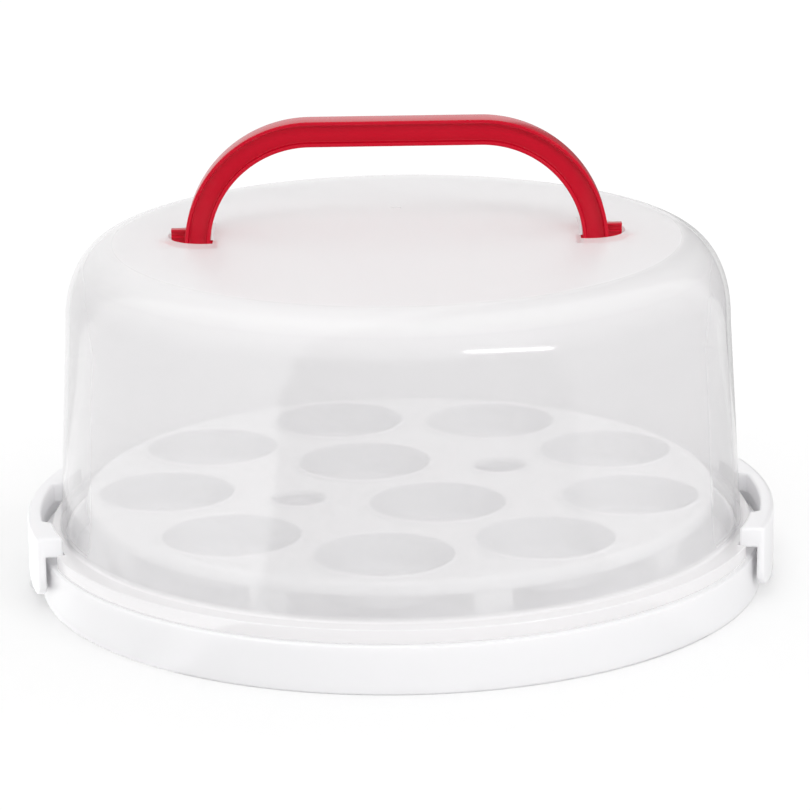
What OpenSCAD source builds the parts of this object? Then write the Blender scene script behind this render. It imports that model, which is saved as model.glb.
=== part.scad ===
// Round cake and cupcake carrier: hollow base, lift-out cupcake tray, tall lid with a
// swinging handle, and two curved side latches on hinges in the base.
// Millimetres. Origin at the centre of the face it rests on, +Z up, latches on the X axis.

/* [Base] */
// Outer radius of the base wall
base_r = 162; // [150:0.5:180]
// Height of the base rim above the table
base_h = 21.6; // [20:0.2:30]
// Thickness of the base walls
base_wall = 2.6; // [2:0.1:3]
// Height of the deck that the cake or tray stands on
deck_z = 14; // [12.6:0.2:18]
// Thickness of the deck
deck_t = 2.4; // [1.6:0.1:3]
// Height of the locating rib above the base rim
rib_h = 4.4; // [2:0.2:5.5]
// Thickness of the locating rib
rib_t = 2.2; // [1.4:0.1:3]
// Rounding of the rim and foot edges of the base
base_round = 1.2; // [0.6:0.1:1.4]
// Number of stiffening ribs under the deck
deck_ribs = 12; // [6:1:24]

/* [Lid] */
// Height of the lid wall from the flange to the shoulder
lid_wall_h = 90.5; // [60:0.5:120]
// How far the lid wall leans in between the flange and the shoulder
lid_lean = 5.2; // [0:0.2:10]
// Width of the rounded shoulder between the wall and the crowned top
shoulder_w = 15.6; // [12:0.2:24]
// Height of the rounded shoulder
shoulder_h = 35; // [28:0.5:45]
// Rise of the crowned top at its centre
crown_rise = 6.8; // [2:0.2:15]
// Thickness of the lid wall
lid_wall = 1.8; // [1.4:0.1:2.4]
// Height of the lid flange
flange_h = 6.2; // [4:0.2:7]
// Width of the lid flange outside the lid wall
flange_w = 8; // [6:0.2:9]
// How far the lid flange stays inside the base wall
flange_inset = 1.4; // [0.6:0.1:3]
// Gap between the base rim and the resting lid flange
lid_seat_gap = 0.3; // [0.2:0.05:0.6]
// Radial gap between the locating rib and the lid wall
rib_gap = 0.6; // [0.3:0.1:1.2]

/* [Cupcake tray] */
// Radial gap between the tray skirt and the locating rib
tray_gap = 7; // [4:0.5:10]
// Height of the tray's upper face above the deck
tray_h = 28; // [24:0.2:36]
// Thickness of the tray
tray_t = 1.8; // [1.2:0.1:2.4]
// Height of the tray skirt
tray_skirt_h = 6.2; // [4:0.2:10]
// Number of cup wells in the outer ring
outer_wells = 9; // [6:1:9]
// Distance of the outer wells' centres from the edge of the tray
outer_inset = 36; // [35:0.2:39]
// Turn of the first outer well from the front
outer_turn = -4; // [-20:1:20]
// How much further apart the inner wells are than an even spacing across the tray
inner_spread = 1; // [0:0.2:2]
// Turn of the first inner well from the front
inner_turn = 27; // [20:1:34]
// Radius of a well at its mouth
well_r = 30; // [22:0.5:31]
// Radius of a well at its floor
well_floor_r = 26.5; // [18:0.5:27]
// Depth of a well
well_depth = 14; // [8:0.5:18]
// Radius of the finger holes
finger_hole_r = 12.4; // [8:0.2:14]
// Distance of the finger holes' centres inside the outer wells' centres
finger_inset = 54; // [52:0.5:56]
// Height of the raised lips round wells and holes
lip_h = 1.2; // [0.6:0.1:2]
// Width of the raised lips
lip_w = 2.2; // [1.6:0.1:2.6]
// Width of a tray foot
foot_w = 17; // [8:0.5:22]
// Depth of a tray foot from front to back
foot_t = 7; // [5:0.5:9]

/* [Handle] */
// Half the width of the handle over its legs
handle_half_w = 93.4; // [86:0.2:100]
// Height of the handle's top above the edge of the crowned top
handle_rise = 55.2; // [50:0.2:80]
// Outer radius of the handle's corners
handle_corner_r = 56; // [44:0.5:58]
// Width of the handle section across the bend
handle_w = 11.2; // [9:0.2:13]
// Depth of the handle section from front to back
handle_d = 13; // [9:0.2:15]
// Thickness of the handle's edge flanges
handle_flange = 1.6; // [1.2:0.1:3]
// Depth of the recess in the front and back faces
handle_recess = 3.2; // [1:0.1:4]
// Depth of the handle pivot below the lid's upper face
pivot_depth = 3.6; // [3.2:0.1:4.4]
// Radius of the collar round the handle pin
collar_r = 3.6; // [3:0.1:5]
// Radius of the handle pins
handle_pin_r = 1.8; // [1.2:0.1:2]
// Length of the handle pins in their bearings
handle_pin_l = 4; // [2:0.2:5]

/* [Handle pockets] */
// Radius of the half-round pocket round each handle leg
pocket_r = 20.5; // [19:0.5:26]
// Side gap between the inner face of the leg and the pocket
pocket_gap = 1.8; // [1.2:0.1:2.6]
// Gap between the leg's round end and the pocket floor
pocket_floor_gap = 1; // [0.6:0.1:2]
// Wall thickness of the pockets and their bearings
pocket_wall = 1.8; // [1.4:0.1:3]

/* [Latches] */
// Radial gap between the base wall and the latch skirt
latch_gap = 2.2; // [1.8:0.1:4]
// Thickness of the latch skirt
latch_wall = 3.2; // [2.4:0.1:3.6]
// Half length of a latch along Y
latch_half_l = 53.5; // [45:0.5:70]
// Height of the latch above the lid flange
latch_rise = 7.1; // [6:0.1:14]
// Thickness of the latch's inward lip
latch_lip_t = 9; // [4:0.2:10]
// How far the latch's lip reaches inwards from the base's outer wall
latch_reach = 5; // [3:0.2:6]
// Half length of the finger notch in the latch lip
notch_half_l = 29; // [20:1:34]
// Depth of the finger notch in the latch lip
notch_depth = 4.2; // [3:0.2:5]
// Gap between the latch lip and the lid's catch
catch_gap = 0.4; // [0.2:0.1:1]
// Gap between the ends of the latch lip and the ends of the lid's catch
catch_end_gap = 1.6; // [0.6:0.1:3]
// Rounding of the latch's edges
latch_round = 1.4; // [0.6:0.1:1.5]
// Corner radius of the latch skirt
latch_corner_r = 9; // [4:0.5:12]
// Height of the latch skirt's lower edge above the hinge line
skirt_lift = 1.2; // [0.6:0.1:5]

/* [Latch hinges] */
// Distance of the latch hinge line inside the latch skirt
hinge_inset = 1.7; // [1.2:0.1:2.2]
// Height of the latch hinge line above the table
hinge_z = 6; // [5.8:0.1:7]
// Radius of the latch barrel
barrel_r = 3; // [2.6:0.1:3.2]
// Half length of the latch barrel
barrel_half_l = 22; // [12:1:24]
// Radius of the latch pins
latch_pin_r = 1.6; // [1:0.1:1.8]
// Length of the latch pins
latch_pin_l = 4; // [2:0.2:5]

/* [Fits] */
// Radial gap between a pin and its bore
pin_clearance = 0.07; // [0.03:0.01:0.1]
// Gap between moving pieces
run_gap = 0.4; // [0.3:0.1:0.6]

/* [Hidden] */
$fn = 180;
SMALL_FN = 48;

// Cuts run this far past what they cut
over = 1;
// How far the tray skirt leans in for each millimetre of height
SKIRT_DRAFT = 0.1;
// Base
base_in_r = base_r - base_wall;
flange_r = base_r - flange_inset;
lid_foot_r = flange_r - flange_w;
rib_r = lid_foot_r - lid_wall - rib_gap;
rib_round = rib_t / 2 - 0.1;
step_r = rib_r - rib_t;
ledge_z = base_h - base_wall;
deck_rib_z = deck_z - deck_t;
deck_rib_h = 2.4;
deck_ring_r = step_r / 2;
// Lid
flange_z = base_h + lid_seat_gap;
flange_top_z = flange_z + flange_h;
flange_round = base_round / 2;
lid_draft = lid_lean / lid_wall_h;
lid_shoulder_r = lid_foot_r - lid_lean;
shoulder_z = flange_top_z + lid_wall_h;
crown_r = lid_shoulder_r - shoulder_w;
crown_z = shoulder_z + shoulder_h;
crown_sphere_r = (pow(crown_r, 2) + pow(crown_rise, 2)) / (2 * crown_rise);
shoulder_steps = 14;
crown_steps = 10;
latch_lip_r = base_r - latch_reach;
catch_r = latch_lip_r - catch_gap;
catch_half_turn = asin((latch_half_l + catch_end_gap) / catch_r);
// Tray
tray_r = step_r - tray_gap;
tray_z = deck_z + tray_h;
tray_skirt_z = tray_z - tray_skirt_h;
tray_top_r = tray_r - tray_skirt_h * SKIRT_DRAFT;
outer_ring_r = tray_r - outer_inset;
inner_ring_r = outer_ring_r / 3 + inner_spread;
finger_ring_r = outer_ring_r - finger_inset;
well_pitch = 360 / outer_wells;
foot_inset = 2;
foot_r = tray_r - foot_inset - foot_t;
foot_half_turn = well_pitch / 2;
// Handle
handle_top_z = crown_z + handle_rise;
leg_in_x = handle_half_w - handle_w;
pivot_z = lid_top_z(handle_half_w) - pivot_depth;
handle_round = handle_d / 2;
recess_drop = 1.2;
recess_low_z = pivot_z - recess_drop;
pocket_x = leg_in_x - pocket_gap;
pocket_tip_x = pocket_x + pocket_r;
pocket_floor_z = pivot_z - handle_round - pocket_floor_gap;
pocket_bottom_z = pocket_floor_z - pocket_wall;
bearing_half_w = handle_pin_r + pin_clearance + pocket_wall;
bearing_l = handle_pin_l + run_gap + pocket_wall;
// Latches
latch_in_r = base_r + latch_gap;
latch_r = latch_in_r + latch_wall;
latch_top_z = flange_top_z + latch_rise;
notch_r = latch_lip_r + notch_depth;
hinge_x = latch_in_r - hinge_inset;
ear_gap = run_gap;
ear_y = barrel_half_l + ear_gap;
pin_end_gap = 1;
ear_t = latch_pin_l + pin_end_gap;
ear_rim = 0.3;
ear_r = barrel_r + ear_rim;
hinge_relief_gap = 0.5;
hinge_relief_r = ear_r + hinge_relief_gap;
pocket_half_l = ear_y + ear_t;
hinge_pocket_gap = 1.2;
hinge_pocket_x = hinge_x - barrel_r - hinge_pocket_gap;
hinge_headroom = 1.6;
hinge_pocket_top = hinge_z + ear_r + hinge_headroom;
skirt_low_z = hinge_z + skirt_lift;

// Height of the lid's upper face at distance r from its axis
function lid_top_z(r) = crown_z + crown_rise - crown_sphere_r
    + sqrt(pow(crown_sphere_r, 2) - pow(r, 2));

// Outer radius of the lid wall at height z below the shoulder
function lid_wall_r(z) = lid_foot_r - (z - flange_top_z) * lid_draft;

// Points of the lid's outline from the wall over the shoulder to the axis, moved inwards by inset
function lid_outline(inset, from_z) = concat(
    [[0, from_z], [lid_wall_r(from_z) - inset, from_z]],
    [for (i = [0:shoulder_steps])
        let (a = 90 * i / shoulder_steps)
        [crown_r + (lid_shoulder_r - crown_r - inset) * cos(a),
         shoulder_z + (crown_z - shoulder_z - inset) * sin(a)]],
    [for (i = [crown_steps - 1:-1:0])
        let (r = crown_r * i / crown_steps)
        [r, lid_top_z(r) - inset]]);

// Flat shapes
module soft_rect(x0, x1, y0, y1, r) {
    translate([x0 + r, y0])
        square([x1 - x0 - 2 * r, y1 - y0]);
    translate([x0, y0 + r])
        square([x1 - x0, y1 - y0 - 2 * r]);
    for (x = [x0 + r, x1 - r], y = [y0 + r, y1 - r])
        translate([x, y])
            circle(r, $fn = SMALL_FN);
}

module band(r0, r1, z0, z1) {
    rotate_extrude()
        translate([r0, z0])
            square([r1 - r0, z1 - z0]);
}

module soft_band(r0, r1, z0, z1, r) {
    rotate_extrude()
        soft_rect(r0, r1, z0, z1, r);
}

module box_between(low, high) {
    translate(low)
        cube(high - low);
}

module rod_x(x0, x1, r, z) {
    translate([x0, 0, z])
        rotate([0, 90, 0])
            cylinder(h = x1 - x0, r = r, $fn = SMALL_FN);
}

module rod_y(x, z, y0, y1, r) {
    translate([x, y0, z])
        rotate([-90, 0, 0])
            cylinder(h = y1 - y0, r = r, $fn = SMALL_FN);
}

// Places its child at a distance and a turn from the front about the carrier's axis
module around(r, turn) {
    rotate([0, 0, turn - 90])
        translate([r, 0, 0])
            children();
}

module on_both_sides() {
    children();
    mirror([1, 0, 0])
        children();
}

// Base
module base_wall_ring() {
    difference() {
        union() {
            soft_band(base_in_r - base_wall, base_r, 0, base_h, base_round);
            band(base_in_r - base_wall, base_r - base_round, 0, base_round);
        }
        band(base_in_r - 2 * base_wall, base_in_r, -over, ledge_z);
    }
}

module deck_stiffeners() {
    band(deck_ring_r, deck_ring_r + deck_t / 2, deck_rib_z - deck_rib_h, deck_rib_z + deck_t / 2);
    for (i = [0:deck_ribs - 1])
        rotate([0, 0, 360 * (i + 0.5) / deck_ribs])
            box_between([deck_ring_r, -deck_t / 4, deck_rib_z - deck_rib_h],
                        [step_r + rib_t / 2, deck_t / 4, deck_rib_z + deck_t / 2]);
}

module hinge_housing() {
    intersection() {
        box_between([hinge_pocket_x - base_wall, -pocket_half_l - base_wall, 0],
                    [base_r, pocket_half_l + base_wall, ledge_z + base_wall / 2]);
        cylinder(h = base_h, r = base_r - base_wall / 2);
    }
}

module hinge_ears() {
    for (y0 = [ear_y, -ear_y - ear_t])
        difference() {
            union() {
                rod_y(hinge_x, hinge_z, y0, y0 + ear_t, ear_r);
                box_between([hinge_pocket_x - over, y0, hinge_z - ear_r],
                            [hinge_x, y0 + ear_t, hinge_z + ear_r]);
            }
            rod_y(hinge_x, hinge_z, y0 - over, y0 + ear_t + over, latch_pin_r + pin_clearance);
        }
}

module base_tray() {
    color("white") {
        difference() {
            union() {
                base_wall_ring();
                band(step_r, base_in_r, ledge_z, base_h);
                band(step_r, rib_r, deck_rib_z, base_h);
                soft_band(step_r, rib_r, ledge_z, base_h + rib_h, rib_round);
                translate([0, 0, deck_rib_z])
                    cylinder(h = deck_t, r = step_r + rib_t / 2);
                deck_stiffeners();
                on_both_sides()
                    hinge_housing();
            }
            on_both_sides()
                box_between([hinge_pocket_x, -pocket_half_l, -over],
                            [base_r + over, pocket_half_l, hinge_pocket_top]);
        }
        on_both_sides()
            hinge_ears();
    }
}

// Cupcake tray
module well_places() {
    for (i = [0:outer_wells - 1])
        around(outer_ring_r, outer_turn + i * well_pitch)
            children();
    for (turn = [inner_turn, inner_turn + 180])
        around(inner_ring_r, turn)
            children();
}

module finger_hole_places() {
    for (turn = [inner_turn + 90, inner_turn + 270])
        around(finger_ring_r, turn)
            children();
}

module well_shell() {
    translate([0, 0, tray_z - well_depth - tray_t])
        cylinder(h = well_depth + tray_t, r1 = well_floor_r + tray_t, r2 = well_r + tray_t);
    translate([0, 0, tray_z - tray_t])
        cylinder(h = tray_t + lip_h, r = well_r + lip_w);
}

module well_void() {
    translate([0, 0, tray_z - well_depth])
        cylinder(h = well_depth, r1 = well_floor_r, r2 = well_r);
    translate([0, 0, tray_z - tray_t / 2])
        cylinder(h = lip_h + tray_t, r = well_r);
}

module tray_feet() {
    for (i = [0:outer_wells - 1])
        rotate([0, 0, outer_turn + foot_half_turn + i * well_pitch - 90])
            box_between([foot_r, -foot_w / 2, deck_z],
                        [foot_r + foot_t, foot_w / 2, tray_z - tray_t / 2]);
}

module cupcake_tray() {
    color("whitesmoke")
        difference() {
            union() {
                translate([0, 0, tray_z - tray_t])
                    cylinder(h = tray_t, r = tray_top_r - tray_t / 2);
                difference() {
                    translate([0, 0, tray_skirt_z])
                        cylinder(h = tray_skirt_h, r1 = tray_r, r2 = tray_top_r);
                    translate([0, 0, tray_skirt_z - over])
                        cylinder(h = tray_skirt_h + over - tray_t / 2, r = tray_top_r - tray_t);
                }
                well_places()
                    well_shell();
                finger_hole_places()
                    translate([0, 0, tray_z - tray_t])
                        cylinder(h = tray_t + lip_h, r = finger_hole_r + lip_w);
                tray_feet();
            }
            well_places()
                well_void();
            finger_hole_places()
                translate([0, 0, tray_z - tray_t - over])
                    cylinder(h = tray_t + lip_h + 2 * over, r = finger_hole_r);
        }
}

// Lid
module lid_body(inset, from_z) {
    rotate_extrude()
        polygon(lid_outline(inset, from_z));
}

module pocket_plan(r, back_x) {
    intersection() {
        translate([pocket_x, 0])
            circle(r);
        translate([back_x, -r - over])
            square([2 * r + 2 * over, 2 * r + 2 * over]);
    }
}

module pocket_blocks() {
    translate([0, 0, pocket_bottom_z])
        linear_extrude(crown_z + crown_rise - pocket_bottom_z)
            pocket_plan(pocket_r + pocket_wall, pocket_x - pocket_wall);
    for (x = [pocket_x - bearing_l, pocket_tip_x])
        box_between([x, -bearing_half_w, pocket_bottom_z],
                    [x + bearing_l, bearing_half_w, crown_z + crown_rise]);
}

module pocket_voids() {
    translate([0, 0, pocket_floor_z])
        linear_extrude(crown_z + crown_rise - pocket_floor_z + over)
            pocket_plan(pocket_r, pocket_x);
    bore_l = handle_pin_l + run_gap;
    bore_r = handle_pin_r + pin_clearance;
    rod_x(pocket_x - bore_l, pocket_x + over, bore_r, pivot_z);
    rod_x(pocket_tip_x - over, pocket_tip_x + bore_l, bore_r, pivot_z);
}

module catch_cuts() {
    reach = 1.5 * base_r;
    side = reach * tan(catch_half_turn);
    difference() {
        translate([0, 0, flange_z - over])
            linear_extrude(flange_h + 2 * over) {
                polygon([[0, 0], [reach, -side], [reach, side]]);
                polygon([[0, 0], [-reach, side], [-reach, -side]]);
            }
        band(0, catch_r, flange_z - 2 * over, flange_top_z + 2 * over);
    }
}

module dome_lid() {
    color("gainsboro", 0.6)
        difference() {
            union() {
                difference() {
                    union() {
                        lid_body(0, flange_z);
                        soft_band(lid_foot_r - 2 * lid_wall, flange_r, flange_z, flange_top_z, flange_round);
                    }
                    lid_body(lid_wall, flange_z - over);
                }
                intersection() {
                    on_both_sides()
                        pocket_blocks();
                    lid_body(lid_wall / 4, flange_z);
                }
            }
            on_both_sides()
                pocket_voids();
            catch_cuts();
        }
}

// Handle
module bail_outline(inset) {
    corner = handle_corner_r - inset;
    low = pivot_z - handle_round;
    top = handle_top_z - inset;
    half = handle_half_w - inset;
    translate([-half + corner, low])
        square([2 * (half - corner), top - low]);
    translate([-half, low])
        square([2 * half, top - corner - low]);
    for (x = [-1, 1])
        translate([x * (half - corner), top - corner])
            circle(corner);
}

module bail_band(outer_inset, inner_inset, low_z) {
    difference() {
        bail_outline(outer_inset);
        bail_outline(inner_inset);
        translate([-handle_half_w - over, low_z - 2 * handle_corner_r])
            square([2 * handle_half_w + 2 * over, 2 * handle_corner_r]);
    }
}

module bail_solid(outer_inset, inner_inset, y0, y1, low_z) {
    translate([0, y1, 0])
        rotate([90, 0, 0])
            linear_extrude(y1 - y0)
                bail_band(outer_inset, inner_inset, low_z);
}

module leg_end() {
    translate([leg_in_x, 0, pivot_z])
        rotate([90, 0, 90])
            linear_extrude(handle_w) {
                circle(handle_round, $fn = SMALL_FN);
                translate([-handle_round, 0])
                    square([handle_d, 2 * handle_flange]);
            }
}

module bail_handle() {
    web_cut = handle_recess + over;
    color("crimson") {
        difference() {
            union() {
                bail_solid(0, handle_w, -handle_round, handle_round, pivot_z + handle_flange);
                on_both_sides()
                    leg_end();
            }
            for (y = [-handle_round - over, handle_round - handle_recess])
                bail_solid(handle_flange, handle_w - handle_flange, y, y + web_cut, recess_low_z);
        }
        on_both_sides() {
            rod_x(handle_half_w - over, pocket_tip_x - run_gap, collar_r, pivot_z);
            rod_x(handle_half_w - over, pocket_tip_x + handle_pin_l, handle_pin_r, pivot_z);
            rod_x(pocket_x - handle_pin_l, leg_in_x + over, handle_pin_r, pivot_z);
        }
    }
}

// Latches
module latch_side_shape() {
    top_z = latch_top_z + latch_corner_r;
    soft_rect(-latch_half_l, latch_half_l, skirt_low_z, top_z, latch_corner_r);
    translate([-barrel_half_l, hinge_z - barrel_r])
        square([2 * barrel_half_l, latch_top_z - hinge_z]);
}

module latch_band(r0, r1, z0, z1) {
    intersection() {
        soft_band(r0, r1, z0, z1, latch_round);
        box_between([0, -latch_half_l, z0], [latch_r + over, latch_half_l, z1]);
    }
}

module latch() {
    color("white") {
        difference() {
            union() {
                intersection() {
                    latch_band(latch_in_r, latch_r, hinge_z - barrel_r, latch_top_z);
                    rotate([90, 0, 90])
                        linear_extrude(latch_r + over)
                            latch_side_shape();
                }
                latch_band(latch_lip_r, latch_r, latch_top_z - latch_lip_t, latch_top_z);
            }
            intersection() {
                band(latch_lip_r - over, notch_r, latch_top_z - latch_lip_t - over, latch_top_z + over);
                box_between([0, -notch_half_l, 0], [latch_r, notch_half_l, latch_top_z + over]);
            }
            for (y0 = [barrel_half_l, -pocket_half_l - ear_gap])
                rod_y(hinge_x, hinge_z, y0, y0 + ear_t + 2 * ear_gap, hinge_relief_r);
        }
        rod_y(hinge_x, hinge_z, -barrel_half_l, barrel_half_l, barrel_r);
        pin_end = barrel_half_l + ear_gap + latch_pin_l;
        rod_y(hinge_x, hinge_z, -pin_end, pin_end, latch_pin_r);
    }
}

module right_latch() {
    latch();
}

module left_latch() {
    mirror([1, 0, 0])
        latch();
}

base_tray();
cupcake_tray();
dome_lid();
bail_handle();
left_latch();
right_latch();
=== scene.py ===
"""Looks of the round cake and cupcake carrier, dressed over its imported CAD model."""

import math

import bmesh
import bpy
from mathutils import Matrix, Vector


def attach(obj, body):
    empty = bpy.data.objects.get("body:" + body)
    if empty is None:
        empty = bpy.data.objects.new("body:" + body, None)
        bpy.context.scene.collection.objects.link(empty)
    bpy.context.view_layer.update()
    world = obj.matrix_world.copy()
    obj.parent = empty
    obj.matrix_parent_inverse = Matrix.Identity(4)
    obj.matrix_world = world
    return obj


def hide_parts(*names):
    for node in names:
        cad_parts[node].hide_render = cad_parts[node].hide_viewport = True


MM = 0.001

# Camera, fitted to the outlines of the base, tray and lid in the photograph
CAMERA_AT = (0.0, -1.6, 0.534)
CAMERA_PITCH = math.radians(15.90)
CAMERA_YAW = math.radians(0.092)
CAMERA_ROLL = math.radians(-0.84)
FOCAL_PX = 3719.0
FRAME_PX = 810.0
SENSOR_MM = 36.0

# Lid, in millimetres, as in the CAD model
LID_FOOT_R = 152.6
LID_SHOULDER_R = 147.4
SHOULDER_Z = 118.6
SHOULDER_W = 24.0
SHOULDER_H = 35.8
SHOULDER_POWER = 2.3
CROWN_RISE = 6.0
CROWN_Z = SHOULDER_Z + SHOULDER_H
LID_WALL = 1.8
FLANGE_R = 160.6
FLANGE_Z = 21.9
FLANGE_TOP_Z = 28.1
FLANGE_ROUND = 0.6
CATCH_R = 156.6
CATCH_HALF_TURN = math.asin(55.1 / CATCH_R)
CROWN_SPHERE_R = (LID_SHOULDER_R**2 + CROWN_RISE**2) / (2 * CROWN_RISE)
LID_DRAFT = (LID_FOOT_R - LID_SHOULDER_R) / (SHOULDER_Z - FLANGE_TOP_Z)
WALL_FILLET = 1.2
GATE_Y = 38.0
GATE_R = 2.4
GATE_DEPTH = 0.35

# Handle pockets of the lid, in millimetres
PIVOT_Z = 153.3897
POCKET_X = 80.4
POCKET_R = 20.5
POCKET_WALL = 1.8
POCKET_FLOOR_Z = PIVOT_Z - 7.5
BORE_R = 1.87
BORE_L = 4.4
BEARING_HALF_W = 3.67
BEARING_L = 6.2

# Handle, in millimetres
BAIL_HALF_W = 93.4
BAIL_TOP_Z = 208.8
BAIL_CORNER_R = 56.0
BAIL_W = 11.2
BAIL_HALF_D = 6.5
BAIL_FLANGE = 1.6
BAIL_RECESS = 3.2
RECESS_LOW_Z = PIVOT_Z - 3.0
STUB_END_X = 99.4
STUB_TOP_Z = PIVOT_Z + 7.2
PIN_OUT_X = 104.9
PIN_IN_X = 76.4
PIN_R = 1.8
BAIL_EDGE = 0.55
BAIL_FILLET = 0.8
FOOT_EASE = 0.6
FOOT_LAP = 0.01
STUB_HALF_W = 2.1
STUB_WEB_HALF_W = 0.9
STUB_BEAM = 3.8
STUB_BAND = 0.9
STUB_DEPTH = 7.5
STUB_EDGE = 0.25

# Tray, in millimetres
TRAY_R = 141.0
TRAY_TOP_R = 140.38
TRAY_Z = 42.0
TRAY_T = 1.8
TRAY_SKIRT_Z = 35.8
DECK_Z = 14.0
OUTER_WELLS = 9
OUTER_RING_R = 105.0
OUTER_TURN = -4.0
INNER_RING_R = 36.0
INNER_TURN = 27.0
FINGER_RING_R = 51.0
WELL_R = 30.0
WELL_FLOOR_R = 26.5
WELL_DEPTH = 14.0
FINGER_R = 12.4
LIP_H = 1.2
LIP_W = 2.2
LIP_ROUND = 0.7
WELL_FILLET = 3.2
WELL_UNDER_FILLET = 2.6
TRAY_EDGE = 1.5
SKIRT_EDGE = 0.5
FOOT_W = 17.0
FOOT_T = 7.0
FOOT_R = 132.0
FOOT_ROUND = 1.2

# Latches, in millimetres
LATCH_IN_R = 164.2
LATCH_R = 167.4
LATCH_LIP_R = 157.0
NOTCH_R = 161.2
NOTCH_HALF_L = 29.0
LATCH_TOP_Z = 35.2
LATCH_LIP_Z = 26.2
SKIRT_LOW_Z = 7.2
LATCH_HALF_L = 53.5
LATCH_CORNER_R = 9.0
LATCH_ROUND = 1.4
LATCH_TOP_ROUND = 2.2
LATCH_EDGE = 0.8
NOTCH_EASE = 3.0
HINGE_X = 162.5
HINGE_Z = 6.0
BARREL_R = 3.0
BARREL_HALF_L = 22.0
LATCH_PIN_R = 1.6
LATCH_PIN_Y = 26.4
RELIEF_R = 3.8
RELIEF_Y = (22.0, 28.2)

TURN_STEPS = 288
WELL_STEPS = 96


# Outlines

def arc(cx, cz, r, from_deg, to_deg, steps):
    """Points along a circle from one angle to another."""
    points = []
    for k in range(steps + 1):
        a = math.radians(from_deg + (to_deg - from_deg) * k / steps)
        points.append((cx + r * math.cos(a), cz + r * math.sin(a)))
    return points


def rounded(corners, steps=4):
    """An outline whose corners (x, y, radius) are rounded, always with the same count of points."""
    points = []
    count = len(corners)
    for k, (x, y, r) in enumerate(corners):
        here = Vector((x, y))
        back = Vector(corners[k - 1][:2]) - here
        ahead = Vector(corners[(k + 1) % count][:2]) - here
        reach = min(r, back.length * 0.49, ahead.length * 0.49)
        start = here + back.normalized() * reach
        end = here + ahead.normalized() * reach
        for s in range(steps + 1):
            t = s / steps
            p = start * (1 - t)**2 + here * 2 * t * (1 - t) + end * t**2
            points.append((p.x, p.y))
    return points


def crown_rise_at(r):
    return CROWN_RISE - CROWN_SPHERE_R + math.sqrt(CROWN_SPHERE_R**2 - min(r, LID_SHOULDER_R)**2)


def crown_z_at(r):
    return CROWN_Z + crown_rise_at(r)


def wall_r_at(z):
    return LID_FOOT_R - (z - FLANGE_TOP_Z) * LID_DRAFT


def lid_curve(inset, low_z):
    """Points from the foot of the wall over the shoulder to the axis, moved inwards by inset."""
    points = []
    wall_steps = 12
    for i in range(wall_steps):
        z = low_z + (SHOULDER_Z - low_z) * i / wall_steps
        points.append((wall_r_at(z) - inset, z))
    crown_r = LID_SHOULDER_R - SHOULDER_W
    shoulder_steps = 36
    for i in range(shoulder_steps + 1):
        a = math.pi / 2 * i / shoulder_steps
        r = crown_r + (SHOULDER_W - inset) * math.cos(a)**(2 / SHOULDER_POWER)
        z = SHOULDER_Z + (SHOULDER_H - inset) * math.sin(a)**(2 / SHOULDER_POWER)
        points.append((r, z + crown_rise_at(r + inset)))
    crown_steps = 24
    for i in range(crown_steps - 1, -1, -1):
        r = crown_r * i / crown_steps
        points.append((r, crown_z_at(r) - inset))
    return points


# Meshes

def new_object(name, mesh):
    made = bpy.data.objects.new(name, mesh)
    bpy.context.scene.collection.objects.link(made)
    return made


def from_bmesh(name, bm):
    mesh = bpy.data.meshes.new(name)
    bmesh.ops.recalc_face_normals(bm, faces=bm.faces)
    bm.to_mesh(mesh)
    bm.free()
    return new_object(name, mesh)


def add_lathe(bm, outline, steps, cx=0.0, cy=0.0):
    """Adds a closed solid turned about an upright axis from (radius, height) in millimetres."""
    rings = []
    for r, z in outline:
        if r < 1e-6:
            rings.append([bm.verts.new((cx * MM, cy * MM, z * MM))] * steps)
        else:
            turns = [2 * math.pi * k / steps for k in range(steps)]
            rings.append([bm.verts.new(((cx + r * math.cos(a)) * MM,
                                        (cy + r * math.sin(a)) * MM, z * MM)) for a in turns])
    for low, high in zip(rings, rings[1:] + rings[:1]):
        for k in range(steps):
            n = (k + 1) % steps
            corners = []
            for v in (low[k], low[n], high[n], high[k]):
                if v not in corners:
                    corners.append(v)
            if len(corners) > 2:
                bm.faces.new(corners)


def lathe(name, outline, steps=TURN_STEPS):
    bm = bmesh.new()
    add_lathe(bm, outline, steps)
    return from_bmesh(name, bm)


def add_loft(bm, sections):
    """Adds a closed solid through sections of points in millimetres, with flat ends."""
    rings = [[bm.verts.new((x * MM, y * MM, z * MM)) for x, y, z in s] for s in sections]
    for low, high in zip(rings, rings[1:]):
        for k in range(len(low)):
            n = (k + 1) % len(low)
            bm.faces.new((low[k], low[n], high[n], high[k]))
    bm.faces.new(rings[0])
    bm.faces.new(rings[-1])


def loft(name, sections):
    bm = bmesh.new()
    add_loft(bm, sections)
    return from_bmesh(name, bm)


def prism(name, outline, z0, z1):
    """A closed solid with a flat outline of (x, y) in millimetres between two heights."""
    return loft(name, [[(x, y, z) for x, y in outline] for z in (z0, z1)])


def rod(name, start, end, r):
    """A round rod between two points in millimetres."""
    a, b = Vector(start), Vector(end)
    turn = (b - a).to_track_quat("Z", "Y").to_matrix().to_4x4()
    bm = bmesh.new()
    bmesh.ops.create_cone(bm, cap_ends=True, segments=40, radius1=r * MM, radius2=r * MM,
                          depth=(b - a).length * MM,
                          matrix=Matrix.Translation((a + b) / 2 * MM) @ turn)
    return from_bmesh(name, bm)


def cut(piece, operation, *tools):
    """Applies each tool to a piece as a boolean, and removes the tool."""
    for tool in tools:
        m = piece.modifiers.new("cut", "BOOLEAN")
        m.operation = operation
        m.solver = "MANIFOLD"
        m.object = tool
        graph = bpy.context.evaluated_depsgraph_get()
        mesh = bpy.data.meshes.new_from_object(piece.evaluated_get(graph))
        piece.modifiers.clear()
        piece.data = mesh
        bpy.data.objects.remove(tool)


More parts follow.
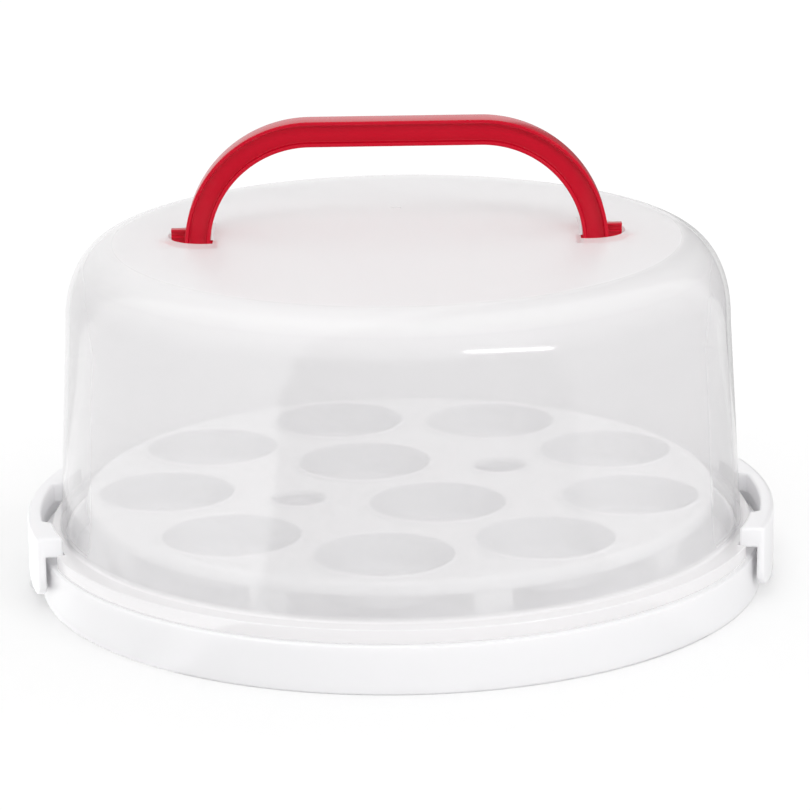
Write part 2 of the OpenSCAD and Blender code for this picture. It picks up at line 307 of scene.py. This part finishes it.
def smooth(piece, join_mm, sharp_deg):
    """Joins close points and shades a piece smooth except over its sharp edges."""
    bm = bmesh.new()
    bm.from_mesh(piece.data)
    bmesh.ops.remove_doubles(bm, verts=bm.verts, dist=join_mm * MM)
    bm.to_mesh(piece.data)
    bm.free()
    piece.data.shade_smooth()
    piece.data.set_sharp_from_angle(angle=math.radians(sharp_deg))


# Lid

def half_round(side, r, back):
    """Outline of a pocket: a half circle bulging outwards on one side, with a flat back."""
    points = [(side * x, y) for x, y in arc(POCKET_X, 0, r, -90, 90, 48)]
    if back > 0:
        points += [(side * (POCKET_X - back), r), (side * (POCKET_X - back), -r)]
    return points


def catch_notch(side):
    """What the flange loses on one side, where a latch's lip takes hold."""
    reach = 240.0
    half = reach * math.tan(CATCH_HALF_TURN)
    over = 4.0
    notch = prism("notch", [(0, 0), (side * reach, -half), (side * reach, half)],
                  FLANGE_Z - over / 2, FLANGE_TOP_Z + 0.01)
    cut(notch, "DIFFERENCE",
        lathe("catch", [(0, FLANGE_Z - over), (CATCH_R, FLANGE_Z - over),
                        (CATCH_R, FLANGE_TOP_Z + over), (0, FLANGE_TOP_Z + over)]))
    return notch


def pocket_block(side, top, bottom):
    """The walls, floor and bearings of one handle pocket, cut to the lid's inside."""
    block = prism("block", half_round(side, POCKET_R + POCKET_WALL, POCKET_WALL), bottom, top)
    for x in (POCKET_X - BEARING_L, POCKET_X + POCKET_R):
        box = [(side * x, -BEARING_HALF_W), (side * (x + BEARING_L), -BEARING_HALF_W),
               (side * (x + BEARING_L), BEARING_HALF_W), (side * x, BEARING_HALF_W)]
        cut(block, "UNION", prism("bearing", box, bottom, top))
    cut(block, "INTERSECT",
        lathe("inside", [(0, FLANGE_Z)] + lid_curve(LID_WALL / 4, FLANGE_Z)))
    return block


def make_lid():
    edge = FLANGE_R - FLANGE_ROUND
    flange = (arc(edge, FLANGE_Z + FLANGE_ROUND, FLANGE_ROUND, -90, 0, 4)
              + arc(edge, FLANGE_TOP_Z - FLANGE_ROUND, FLANGE_ROUND, 0, 90, 4))
    foot = arc(LID_FOOT_R + WALL_FILLET, FLANGE_TOP_Z + WALL_FILLET, WALL_FILLET, 270, 182, 4)
    outer = [p for p in lid_curve(0, FLANGE_TOP_Z) if p[1] > FLANGE_TOP_Z + 1.3]
    inner = lid_curve(LID_WALL, FLANGE_Z)
    lid = lathe("lid_shell", [inner[0]] + flange + foot + outer + list(reversed(inner))[:-1])
    top = CROWN_Z + CROWN_RISE
    for side in (-1, 1):
        cut(lid, "UNION", pocket_block(side, top, POCKET_FLOOR_Z - POCKET_WALL))
    for side in (-1, 1):
        cut(lid, "DIFFERENCE",
            prism("void", half_round(side, POCKET_R, 0), POCKET_FLOOR_Z, top + 2),
            rod("bore", (side * (POCKET_X - BORE_L), 0, PIVOT_Z),
                (side * (POCKET_X + POCKET_R + BORE_L), 0, PIVOT_Z), BORE_R),
            catch_notch(side))
    gate_z = crown_z_at(GATE_Y) - GATE_DEPTH
    cut(lid, "DIFFERENCE", rod("gate", (0, GATE_Y, gate_z), (0, GATE_Y, gate_z + 3), GATE_R))
    return lid


# Tray

def places(ring_r, turn, count):
    """Centres on a ring; the turn in degrees is counted from the front."""
    turns = [math.radians(turn + 360 * k / count) for k in range(count)]
    return [(ring_r * math.sin(a), -ring_r * math.cos(a)) for a in turns]


def lip(r):
    """Outline of a raised rounded lip round an opening of radius r, from outside to inside."""
    z = TRAY_Z + LIP_H - LIP_ROUND
    return (arc(r + LIP_W - LIP_ROUND, z, LIP_ROUND, 0, 90, 4)
            + arc(r + LIP_ROUND, z, LIP_ROUND, 90, 180, 4))


def well_outline():
    low = TRAY_Z - WELL_DEPTH
    fillet, under = WELL_FILLET, WELL_UNDER_FILLET
    return ([(WELL_R + LIP_W, TRAY_Z - TRAY_T)] + lip(WELL_R)
            + arc(WELL_FLOOR_R + 0.6 - fillet, low + fillet, fillet, -8, -90, 6)
            + [(0, low), (0, low - TRAY_T)]
            + arc(WELL_FLOOR_R - 1.4, low - TRAY_T + under, under, -90, -10, 4)
            + [(WELL_R + TRAY_T, TRAY_Z - TRAY_T)])


def rim_outline():
    return [(FINGER_R + LIP_W, TRAY_Z - TRAY_T)] + lip(FINGER_R) + [(FINGER_R, TRAY_Z - TRAY_T)]


def make_tray():
    edge = TRAY_EDGE
    skirt = ([(0, TRAY_Z - TRAY_T), (TRAY_TOP_R - TRAY_T - 0.6, TRAY_Z - TRAY_T)]
             + [(TRAY_TOP_R - TRAY_T, TRAY_Z - TRAY_T - 0.6), (TRAY_R - TRAY_T, TRAY_SKIRT_Z)]
             + arc(TRAY_R - SKIRT_EDGE, TRAY_SKIRT_Z + SKIRT_EDGE, SKIRT_EDGE, -90, 0, 3)
             + arc(TRAY_TOP_R - edge, TRAY_Z - edge, edge, 6, 90, 6) + [(0, TRAY_Z)])
    tray = lathe("tray_shell", skirt)
    wells = (places(OUTER_RING_R, OUTER_TURN, OUTER_WELLS) + places(INNER_RING_R, INNER_TURN, 2))
    holes = places(FINGER_RING_R, INNER_TURN + 90, 2)
    gaps, forms, feet = bmesh.new(), bmesh.new(), bmesh.new()
    for centres, r, outline in ((wells, WELL_R, well_outline()), (holes, FINGER_R, rim_outline())):
        for x, y in centres:
            hole_r = r + LIP_W / 2
            add_lathe(gaps, [(0, TRAY_Z - 4), (hole_r, TRAY_Z - 4), (hole_r, TRAY_Z + 4),
                             (0, TRAY_Z + 4)], WELL_STEPS, x, y)
            add_lathe(forms, outline, WELL_STEPS, x, y)
    plan = rounded([(FOOT_R, -FOOT_W / 2, FOOT_ROUND), (FOOT_R + FOOT_T, -FOOT_W / 2, FOOT_ROUND),
                    (FOOT_R + FOOT_T, FOOT_W / 2, FOOT_ROUND), (FOOT_R, FOOT_W / 2, FOOT_ROUND)])
    for k in range(OUTER_WELLS):
        a = math.radians(OUTER_TURN + 360 / OUTER_WELLS * (k + 0.5) - 90)
        spot = [(x * math.cos(a) - y * math.sin(a), x * math.sin(a) + y * math.cos(a))
                for x, y in plan]
        add_loft(feet, [[(x, y, z) for x, y in spot] for z in (DECK_Z, TRAY_Z - TRAY_T / 2)])
    cut(tray, "DIFFERENCE", from_bmesh("gaps", gaps))
    cut(tray, "UNION", from_bmesh("forms", forms), from_bmesh("feet", feet))
    return tray


# Handle

def bail_path():
    """Points (x, z) on the handle's outer line, each with the direction (x, z) to its inside."""
    side_x = BAIL_HALF_W - BAIL_CORNER_R
    corner_z = BAIL_TOP_Z - BAIL_CORNER_R
    half = [((BAIL_HALF_W, RECESS_LOW_Z), (-1, 0)), ((BAIL_HALF_W, corner_z), (-1, 0))]
    steps = 40
    for k in range(steps + 1):
        a = math.radians(90 * k / steps)
        half.append(((side_x + BAIL_CORNER_R * math.cos(a), corner_z + BAIL_CORNER_R * math.sin(a)),
                     (-math.cos(a), -math.sin(a))))
    return half + [((-x, z), (-nx, nz)) for (x, z), (nx, nz) in reversed(half)]


def i_section(width, half_d, flange, web, edge, fillet):
    """Corners of an I-shaped section as (depth from its outer face, y, radius)."""
    return [(0, -half_d, edge), (flange, -half_d, edge), (flange, -web, fillet),
            (width - flange, -web, fillet), (width - flange, -half_d, edge),
            (width, -half_d, edge), (width, half_d, edge), (width - flange, half_d, edge),
            (width - flange, web, fillet), (flange, web, fillet), (flange, half_d, edge),
            (0, half_d, edge)]


def foot_block(side):
    """The rounded end of one leg: the lower part of a disc about the pivot, with eased edges."""
    ease = FOOT_EASE
    x_in = BAIL_HALF_W - BAIL_W
    sections = []
    for x, inset in ((x_in, ease), (x_in + 0.2, ease / 3), (x_in + ease, 0),
                     (BAIL_HALF_W - ease, 0), (BAIL_HALF_W - 0.2, ease / 3), (BAIL_HALF_W, ease)):
        outline = arc(0, PIVOT_Z, BAIL_HALF_D - inset, 202.5, 337.5, 24)
        sections.append([(side * x, y, min(z, RECESS_LOW_Z + FOOT_LAP)) for y, z in outline])
    return loft("foot", sections)


def stub(side):
    """The I-shaped stub between a leg and its outer pin."""
    wide, narrow, beam, band = STUB_HALF_W, STUB_WEB_HALF_W, STUB_BEAM, STUB_BAND
    half = [(0, wide), (band, wide), (band, narrow), (beam - band, narrow), (beam - band, wide),
            (beam, wide), (beam, narrow), (STUB_DEPTH, narrow)]
    outline = rounded([(d, y, STUB_EDGE) for d, y in half]
                      + [(d, -y, STUB_EDGE) for d, y in reversed(half)], 3)
    return loft("stub", [[(side * x, y, STUB_TOP_Z - d) for d, y in outline]
                         for x in (BAIL_HALF_W - 1, STUB_END_X)])


def make_handle():
    section = rounded(i_section(BAIL_W, BAIL_HALF_D, BAIL_FLANGE, BAIL_HALF_D - BAIL_RECESS,
                                BAIL_EDGE, BAIL_FILLET))
    handle = loft("handle_bail", [[(x + nx * d, y, z + nz * d) for d, y in section]
                                  for (x, z), (nx, nz) in bail_path()])
    for side in (-1, 1):
        cut(handle, "UNION", foot_block(side), stub(side),
            rod("outer_pin", (side * (BAIL_HALF_W - 1), 0, PIVOT_Z), (side * PIN_OUT_X, 0, PIVOT_Z),
                PIN_R),
            rod("inner_pin", (side * PIN_IN_X, 0, PIVOT_Z),
                (side * (BAIL_HALF_W - BAIL_W + 1), 0, PIVOT_Z), PIN_R))
    return handle


# Latches

def latch_low_z(y):
    """Lower edge of a latch's skirt, with round corners and the hinge tongue in the middle."""
    if abs(y) <= BARREL_HALF_L:
        return HINGE_Z - BARREL_R
    from_corner = abs(y) - (LATCH_HALF_L - LATCH_CORNER_R)
    if from_corner <= 0:
        return SKIRT_LOW_Z
    drop = math.sqrt(max(0.0, LATCH_CORNER_R**2 - from_corner**2))
    return SKIRT_LOW_Z + LATCH_CORNER_R - drop


def latch_lip_r(y):
    """Inner radius of the lip, larger in the finger notch."""
    ease = NOTCH_EASE
    t = min(1.0, max(0.0, (NOTCH_HALF_L + ease / 2 - abs(y)) / ease))
    return LATCH_LIP_R + (NOTCH_R - LATCH_LIP_R) * t * t * (3 - 2 * t)


def latch_section(y, inset):
    r_in, r_out, lip_r = LATCH_IN_R + inset, LATCH_R - inset, latch_lip_r(y) + inset
    low, top, lip_z = latch_low_z(y) + inset, LATCH_TOP_Z - inset, LATCH_LIP_Z + inset
    mild = LATCH_EDGE
    outline = rounded([(r_out, low, mild), (r_out, top, LATCH_TOP_ROUND), (lip_r, top, LATCH_ROUND),
                       (lip_r, lip_z, LATCH_ROUND), (r_in, lip_z, mild), (r_in, low, mild)])
    return [(math.sqrt(r * r - y * y), y, z) for r, z in outline]


def latch_stations():
    """Places along a latch as (y, inset of its section there)."""
    half = [(LATCH_HALF_L - LATCH_ROUND + LATCH_ROUND * math.sin(math.radians(d)),
             LATCH_ROUND * (1 - math.cos(math.radians(d)))) for d in (84, 66, 45, 24, 0)]
    y = half[-1][0]
    while y > 1.2:
        y -= 1.0
        half.append((y, 0))
    edges = [(BARREL_HALF_L + 0.02, 0), (BARREL_HALF_L - 0.02, 0)]
    half = sorted(half + edges, reverse=True)
    return half + [(-y, inset) for y, inset in reversed(half)]


def make_latch(side, name):
    latch = loft(name, [[(side * x, y, z) for x, y, z in latch_section(y, inset)]
                        for y, inset in latch_stations()])
    hinge = side * HINGE_X
    for low, high in (RELIEF_Y, (-RELIEF_Y[1], -RELIEF_Y[0])):
        cut(latch, "DIFFERENCE",
            rod("relief", (hinge, low, HINGE_Z), (hinge, high, HINGE_Z), RELIEF_R))
    for half, r in ((BARREL_HALF_L, BARREL_R), (LATCH_PIN_Y, LATCH_PIN_R)):
        cut(latch, "UNION", rod("barrel", (hinge, -half, HINGE_Z), (hinge, half, HINGE_Z), r))
    return latch


# Materials

# How solid the lid looks (veils), and how solid each plastic is to light
WALL_VEIL = 0.38
FLANGE_VEIL = 0.7
CROWN_VEIL = 0.5
# Whiter colour for the thick flange, and for the crown's top as a painted highlight
DENSE_FLANGE_AND_LIT_CROWN_WHITE = (0.91, 0.897, 0.907)
LIGHT_VEIL = 0.03
TRAY_LIGHT_VEIL = 0.2
WHITE_LIGHT_VEIL = 0.75
CROWN_ROUGHNESS = 0.4
# Where these change, in millimetres: heights, and distances from the axis
FLANGE_FADE_Z = (FLANGE_TOP_Z, FLANGE_TOP_Z + 3)
CROWN_VEIL_Z = (130.0, 154.0)
# Heights over which the crown's top is painted whiter: a painted highlight
CROWN_PAINTED_HIGHLIGHT_Z = (134.0, 155.0)
CROWN_MATT_R = (118.0, 138.0)
# Noise scales, for the object's own coordinates in metres
PATCH_SCALE = 14.0
GLOSS_SCALE = 60.0
WAVE_SCALE = 22.0
GRAIN_SCALE = 900.0
# Sockets of a Mix node that mixes colours
MIX_A, MIX_B, MIX_OUT = 6, 7, 2


def nodes_of(made):
    """Turns a new material or world to nodes, and gives it with its nodes and links."""
    made.use_nodes = True
    return made, made.node_tree.nodes, made.node_tree.links


def plastic(name, colour, roughness, grain, wave, spread=0.02, depth=0.0):
    """A moulded plastic: faint patches of colour and gloss, a fine grain and long soft waves."""
    made, nodes, links = nodes_of(bpy.data.materials.new(name))
    shader = nodes["Principled BSDF"]
    if depth:
        shader.inputs["Subsurface Weight"].default_value = 0.5
        shader.inputs["Subsurface Radius"].default_value = (1.0, 1.0, 1.0)
        shader.inputs["Subsurface Scale"].default_value = depth * MM
    place = nodes.new("ShaderNodeTexCoord")

    def noise(scale, detail):
        n = nodes.new("ShaderNodeTexNoise")
        n.inputs["Scale"].default_value = scale
        n.inputs["Detail"].default_value = detail
        links.new(place.outputs["Object"], n.inputs["Vector"])
        return n.outputs["Fac"]

    patches = noise(PATCH_SCALE, 2.0)
    tint = nodes.new("ShaderNodeMix")
    tint.data_type = "RGBA"
    tint.inputs[MIX_A].default_value = (*[c * (1 - spread) for c in colour], 1)
    tint.inputs[MIX_B].default_value = (*[min(1.0, c * (1 + spread)) for c in colour], 1)
    links.new(patches, tint.inputs[0])
    links.new(tint.outputs[MIX_OUT], shader.inputs["Base Color"])
    gloss = nodes.new("ShaderNodeMapRange")
    gloss.inputs["To Min"].default_value = roughness * 0.85
    gloss.inputs["To Max"].default_value = roughness * 1.2
    links.new(noise(GLOSS_SCALE, 4.0), gloss.inputs["Value"])
    links.new(gloss.outputs["Result"], shader.inputs["Roughness"])
    waves = nodes.new("ShaderNodeBump")
    waves.inputs["Strength"].default_value = 1.0
    waves.inputs["Distance"].default_value = wave * MM
    links.new(noise(WAVE_SCALE, 1.0), waves.inputs["Height"])
    fine = nodes.new("ShaderNodeBump")
    fine.inputs["Strength"].default_value = 1.0
    fine.inputs["Distance"].default_value = grain * MM
    links.new(noise(GRAIN_SCALE, 3.0), fine.inputs["Height"])
    links.new(waves.outputs["Normal"], fine.inputs["Normal"])
    links.new(fine.outputs["Normal"], shader.inputs["Normal"])
    return made


def object_place(nodes, links):
    """Height of a point, and its distance from the object's axis."""
    place = nodes.new("ShaderNodeTexCoord")
    split = nodes.new("ShaderNodeSeparateXYZ")
    links.new(place.outputs["Object"], split.inputs[0])
    flat = nodes.new("ShaderNodeVectorMath")
    flat.operation = "MULTIPLY"
    flat.inputs[1].default_value = (1, 1, 0)
    links.new(place.outputs["Object"], flat.inputs[0])
    length = nodes.new("ShaderNodeVectorMath")
    length.operation = "LENGTH"
    links.new(flat.outputs["Vector"], length.inputs[0])
    return split.outputs["Z"], length.outputs["Value"]


def math_of(nodes, links, operation, a, b):
    """What a Math node makes of two sockets."""
    m = nodes.new("ShaderNodeMath")
    m.operation = operation
    links.new(a, m.inputs[0])
    links.new(b, m.inputs[1])
    return m.outputs[0]


def ramp(nodes, links, value, low, high, at_low=0.0, at_high=1.0):
    """A number that goes smoothly from at_low to at_high as the value goes from low to high."""
    m = nodes.new("ShaderNodeMapRange")
    m.interpolation_type = "SMOOTHSTEP"
    links.new(value, m.inputs["Value"])
    for socket, number in (("From Min", low), ("From Max", high), ("To Min", at_low),
                           ("To Max", at_high)):
        m.inputs[socket].default_value = number
    return m.outputs["Result"]


def paint_shade_in_wells(tray, material):
    """Gives the insides of the wells a darker material of their own: painted shade in the wells."""
    tray.data.materials.append(material)
    low = TRAY_Z - WELL_DEPTH
    wells = places(OUTER_RING_R, OUTER_TURN, OUTER_WELLS) + places(INNER_RING_R, INNER_TURN, 2)
    for face in tray.data.polygons:
        x, y, z = [c / MM for c in face.center]
        wall_r = WELL_FLOOR_R + (WELL_R - WELL_FLOOR_R) * (z - low) / WELL_DEPTH
        if low - TRAY_T / 2 < z < TRAY_Z - 0.1:
            if any(math.hypot(x - cx, y - cy) < wall_r + TRAY_T / 2 for cx, cy in wells):
                face.material_index = 1


def let_light_through(material, seen, lit):
    """Sets how solid a material is to the eye, and how solid to the light that spreads in it."""
    nodes, links = material.node_tree.nodes, material.node_tree.links
    path = nodes.new("ShaderNodeLightPath")
    soft = math_of(nodes, links, "MAXIMUM", path.outputs["Is Shadow Ray"],
                   path.outputs["Is Diffuse Ray"])
    alpha = nodes["Principled BSDF"].inputs["Alpha"]
    links.new(level_by(nodes, links, soft, seen, lit), alpha)


def make_milky(material):
    """Milky see-through plastic, denser and whiter in the thick flange, with a less polished crown
    whose top is painted whiter as a painted highlight.
    """
    nodes, links = material.node_tree.nodes, material.node_tree.links
    shader = nodes["Principled BSDF"]
    shader.inputs["Specular IOR Level"].default_value = 1.0
    height, radius = object_place(nodes, links)
    flange, crown, top, centre = [[mm * MM for mm in band] for band in (
        FLANGE_FADE_Z, CROWN_VEIL_Z, CROWN_PAINTED_HIGHLIGHT_Z, CROWN_MATT_R)]
    veil = math_of(nodes, links, "MAXIMUM",
                   ramp(nodes, links, height, *flange, FLANGE_VEIL, WALL_VEIL),
                   ramp(nodes, links, height, *crown, 0.0, CROWN_VEIL))
    # Whiter where the flange is thick, and on the crown's top as a painted highlight
    dense_flange_and_lit_crown = math_of(nodes, links, "MAXIMUM", ramp(nodes, links, height, *top),
                         ramp(nodes, links, height, *flange, 1.0, 0.0))
    tint = nodes.new("ShaderNodeMix")
    tint.data_type = "RGBA"
    links.new(dense_flange_and_lit_crown, tint.inputs[0])
    links.new(shader.inputs["Base Color"].links[0].from_socket, tint.inputs[MIX_A])
    tint.inputs[MIX_B].default_value = (*DENSE_FLANGE_AND_LIT_CROWN_WHITE, 1)
    links.new(tint.outputs[MIX_OUT], shader.inputs["Base Color"])
    let_light_through(material, veil, LIGHT_VEIL)
    matt = math_of(nodes, links, "MAXIMUM", shader.inputs["Roughness"].links[0].from_socket,
                   ramp(nodes, links, radius, *centre, CROWN_ROUGHNESS, 0.0))
    links.new(matt, shader.inputs["Roughness"])


def wear(piece, material, node, body):
    piece.data.materials.clear()
    piece.data.materials.append(material)
    for p in piece.data.polygons:
        p.material_index = 0
    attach(piece, body)
    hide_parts(node)


# Studio

# What glossy rays meet, by direction in degrees from the front, positive to the right
DARK_FRONT = (-37.0, 55.0)
DARK_FRONT_TOP_DEG = 23.0
DARK_BACK = (137.0, 172.0)
BRIGHT_LEFT = (-128.0, -34.0)
BRIGHT_RIGHT = (52.0, 128.0)
FRONT_LEVEL = 0.1
BACK_LEVEL = 0.2
LEFT_LEVEL = 1.8
RIGHT_LEVEL = 0.75
REST_LEVEL = 1.0
WORLD_LEVEL = 0.85
# Floor: its colour, its glow to the camera, and the share of glow near the object and far from it
FLOOR_HALF = 12.0
FLOOR_WHITE = 0.99
FLOOR_GLOW = 1.03
FLOOR_FADE_R = (0.19, 0.42)
FLOOR_SHARE = (0.4, 1.0)
FLOOR_SEEN_THROUGH = 0.8


def sector(nodes, links, x, y, low_deg, high_deg, soft_deg=1.5):
    """1 where the direction (x, y) lies between two angles from the front, and 0 elsewhere."""
    back = nodes.new("ShaderNodeMath")
    back.operation = "MULTIPLY"
    back.inputs[1].default_value = -1.0
    links.new(y, back.inputs[0])
    turn = math_of(nodes, links, "ARCTAN2", x, back.outputs[0])
    sides = []
    for a, b in ((low_deg, low_deg + soft_deg), (high_deg, high_deg - soft_deg)):
        sides.append(ramp(nodes, links, turn, math.radians(a), math.radians(b)))
    return math_of(nodes, links, "MULTIPLY", *sides)


def level_by(nodes, links, mask, outside, inside):
    """A number that is outside where the mask is 0 and inside where it is 1."""
    m = nodes.new("ShaderNodeMapRange")
    links.new(mask, m.inputs["Value"])
    for socket, value in (("To Min", outside), ("To Max", inside)):
        if isinstance(value, float):
            m.inputs[socket].default_value = value
        else:
            links.new(value, m.inputs[socket])
    return m.outputs["Result"]


def mirror_level(nodes, links, xyz, with_height):
    """Brightness that glossy rays meet in each direction."""
    front = sector(nodes, links, xyz["X"], xyz["Y"], *DARK_FRONT)
    if with_height:
        steep = nodes.new("ShaderNodeMath")
        steep.operation = "LESS_THAN"
        steep.inputs[1].default_value = math.sin(math.radians(DARK_FRONT_TOP_DEG))
        links.new(xyz["Z"], steep.inputs[0])
        front = math_of(nodes, links, "MULTIPLY", front, steep.outputs[0])
    level = REST_LEVEL
    for (low_deg, high_deg), value in ((BRIGHT_LEFT, LEFT_LEVEL), (BRIGHT_RIGHT, RIGHT_LEVEL),
                                       (DARK_BACK, BACK_LEVEL)):
        part = sector(nodes, links, xyz["X"], xyz["Y"], low_deg, high_deg)
        level = level_by(nodes, links, part, level, value)
    return level_by(nodes, links, front, level, FRONT_LEVEL)


def make_world():
    world, nodes, links = nodes_of(bpy.data.worlds.new("studio"))
    bpy.context.scene.world = world
    background = nodes["Background"]
    background.inputs["Color"].default_value = (1, 1, 1, 1)
    place = nodes.new("ShaderNodeTexCoord")
    split = nodes.new("ShaderNodeSeparateXYZ")
    links.new(place.outputs["Generated"], split.inputs[0])
    glossy = mirror_level(nodes, links, split.outputs, True)
    path = nodes.new("ShaderNodeLightPath")
    level = level_by(nodes, links, path.outputs["Is Glossy Ray"], WORLD_LEVEL, glossy)
    level = level_by(nodes, links, path.outputs["Is Transmission Ray"], level, 1.0)
    level = level_by(nodes, links, path.outputs["Is Camera Ray"], level, 1.0)
    links.new(level, background.inputs["Strength"])


def make_floor():
    """A white floor that keeps a faint shadow, and whose mirror image is shaded by direction."""
    bm = bmesh.new()
    bmesh.ops.create_grid(bm, x_segments=1, y_segments=1, size=FLOOR_HALF)
    floor = from_bmesh("floor", bm)
    if floor.data.polygons[0].normal.z < 0:
        floor.data.flip_normals()
    material, nodes, links = nodes_of(bpy.data.materials.new("floor_white"))
    nodes.remove(nodes["Principled BSDF"])
    out = nodes["Material Output"]
    matt = nodes.new("ShaderNodeBsdfDiffuse")
    matt.inputs["Color"].default_value = (FLOOR_WHITE, FLOOR_WHITE, FLOOR_WHITE, 1)
    glow = nodes.new("ShaderNodeEmission")
    place = nodes.new("ShaderNodeTexCoord")
    split = nodes.new("ShaderNodeSeparateXYZ")
    links.new(place.outputs["Object"], split.inputs[0])
    glossy = mirror_level(nodes, links, split.outputs, False)
    path = nodes.new("ShaderNodeLightPath")
    level = level_by(nodes, links, path.outputs["Is Camera Ray"], glossy, FLOOR_GLOW)
    links.new(level, glow.inputs["Strength"])
    share = level_by(nodes, links, path.outputs["Is Glossy Ray"], 0.0, 1.0)
    share = level_by(nodes, links, path.outputs["Is Transmission Ray"], share,
                     FLOOR_SEEN_THROUGH)
    flat = nodes.new("ShaderNodeVectorMath")
    flat.operation = "LENGTH"
    links.new(place.outputs["Object"], flat.inputs[0])
    fade = ramp(nodes, links, flat.outputs["Value"], *FLOOR_FADE_R, *FLOOR_SHARE)
    share = level_by(nodes, links, path.outputs["Is Camera Ray"], share, fade)
    mix = nodes.new("ShaderNodeMixShader")
    links.new(share, mix.inputs[0])
    links.new(matt.outputs[0], mix.inputs[1])
    links.new(glow.outputs[0], mix.inputs[2])
    links.new(mix.outputs[0], out.inputs["Surface"])
    floor.data.materials.append(material)


def lamp(name, turn_deg, rise_deg, distance, width, height, watts, roll_deg=0.0):
    """A rectangular lamp aimed at the middle of the object, unseen by the camera."""
    data = bpy.data.lights.new(name, "AREA")
    data.shape = "RECTANGLE"
    data.size = width
    data.size_y = height
    data.energy = watts
    made = new_object(name, data)
    turn, rise = math.radians(turn_deg), math.radians(rise_deg)
    away = Vector((math.sin(turn) * math.cos(rise), -math.cos(turn) * math.cos(rise),
                   math.sin(rise)))
    target = Vector((0, 0, 0.1))
    made.matrix_world = (Matrix.Translation(target + away * distance)
                         @ away.to_track_quat("Z", "Y").to_matrix().to_4x4()
                         @ Matrix.Rotation(math.radians(roll_deg), 4, "Z"))
    made.visible_camera = False
    return made


def make_camera():
    data = bpy.data.cameras.new("camera")
    data.sensor_width = SENSOR_MM
    data.lens = FOCAL_PX / FRAME_PX * SENSOR_MM
    data.clip_start = 0.05
    data.clip_end = 50.0
    camera = new_object("camera", data)
    forward = Vector((math.sin(CAMERA_YAW) * math.cos(CAMERA_PITCH),
                      math.cos(CAMERA_YAW) * math.cos(CAMERA_PITCH),
                      -math.sin(CAMERA_PITCH)))
    turn = forward.to_track_quat("-Z", "Y").to_matrix().to_4x4()
    camera.matrix_world = (Matrix.Translation(CAMERA_AT) @ turn
                           @ Matrix.Rotation(CAMERA_ROLL, 4, "Z"))
    bpy.context.scene.camera = camera


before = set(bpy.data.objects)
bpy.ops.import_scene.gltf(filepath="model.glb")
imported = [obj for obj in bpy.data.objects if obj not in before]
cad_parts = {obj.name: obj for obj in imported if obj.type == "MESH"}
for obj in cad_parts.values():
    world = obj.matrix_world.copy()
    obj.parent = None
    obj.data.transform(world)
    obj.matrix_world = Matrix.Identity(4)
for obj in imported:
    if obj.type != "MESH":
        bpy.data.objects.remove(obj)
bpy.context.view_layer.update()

white = plastic("white_polypropylene", (0.905, 0.9, 0.915), 0.3, 0.004, 0.02, depth=4.0)
tray_white = plastic("tray_polypropylene", (0.97, 0.97, 0.98), 0.42, 0.006, 0.02, depth=4.0)
# Darker white for the insides of the wells: painted shade in the recesses
well_shade_white = plastic("tray_polypropylene_painted_well_shade", (0.8, 0.8, 0.81), 0.42, 0.006, 0.02, depth=4.0)
red = plastic("red_polypropylene", (0.57, 0.0022, 0.02), 0.22, 0.003, 0.02)
milky = plastic("milky_polypropylene", (0.75, 0.738, 0.75), 0.1, 0.002, 0.03)
make_milky(milky)
let_light_through(tray_white, 1.0, TRAY_LIGHT_VEIL)
let_light_through(well_shade_white, 1.0, TRAY_LIGHT_VEIL)
let_light_through(white, 1.0, WHITE_LIGHT_VEIL)
red.node_tree.nodes["Principled BSDF"].inputs["Specular IOR Level"].default_value = 0.25

for material_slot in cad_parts["base_tray"].material_slots:
    material_slot.material = white

for piece, join_mm, sharp_deg, material, node, body, slot in (
        (make_lid(), 0.02, 30, milky, "dome_lid", "lid", "clear_lid"),
        (make_tray(), 0.005, 32, tray_white, "cupcake_tray", "tray", "tray_plastic"),
        (make_handle(), 0.005, 35, red, "bail_handle", "handle", "red_plastic"),
        (make_latch(-1, "latch_left_shell"), 0.005, 32, white, "left_latch", "latch_left",
         "white_plastic"),
        (make_latch(1, "latch_right_shell"), 0.005, 32, white, "right_latch", "latch_right",
         "white_plastic")):
    smooth(piece, join_mm, sharp_deg)
    wear(piece, material, node, body)
    if node == "cupcake_tray":
        # The wells' insides get the darker white: painted shade
        paint_shade_in_wells(piece, well_shade_white)

make_camera()
make_world()
make_floor()
key = lamp("key", turn_deg=-14.0, rise_deg=48.0, distance=2.6, width=0.7, height=0.5, watts=7.0)
key.visible_glossy = False
lamp("streak", turn_deg=39.0, rise_deg=25.0, distance=3.0, width=1.5, height=0.05, watts=14.0,
     roll_deg=-20.0)
bpy.context.scene.view_settings.view_transform = "Standard"
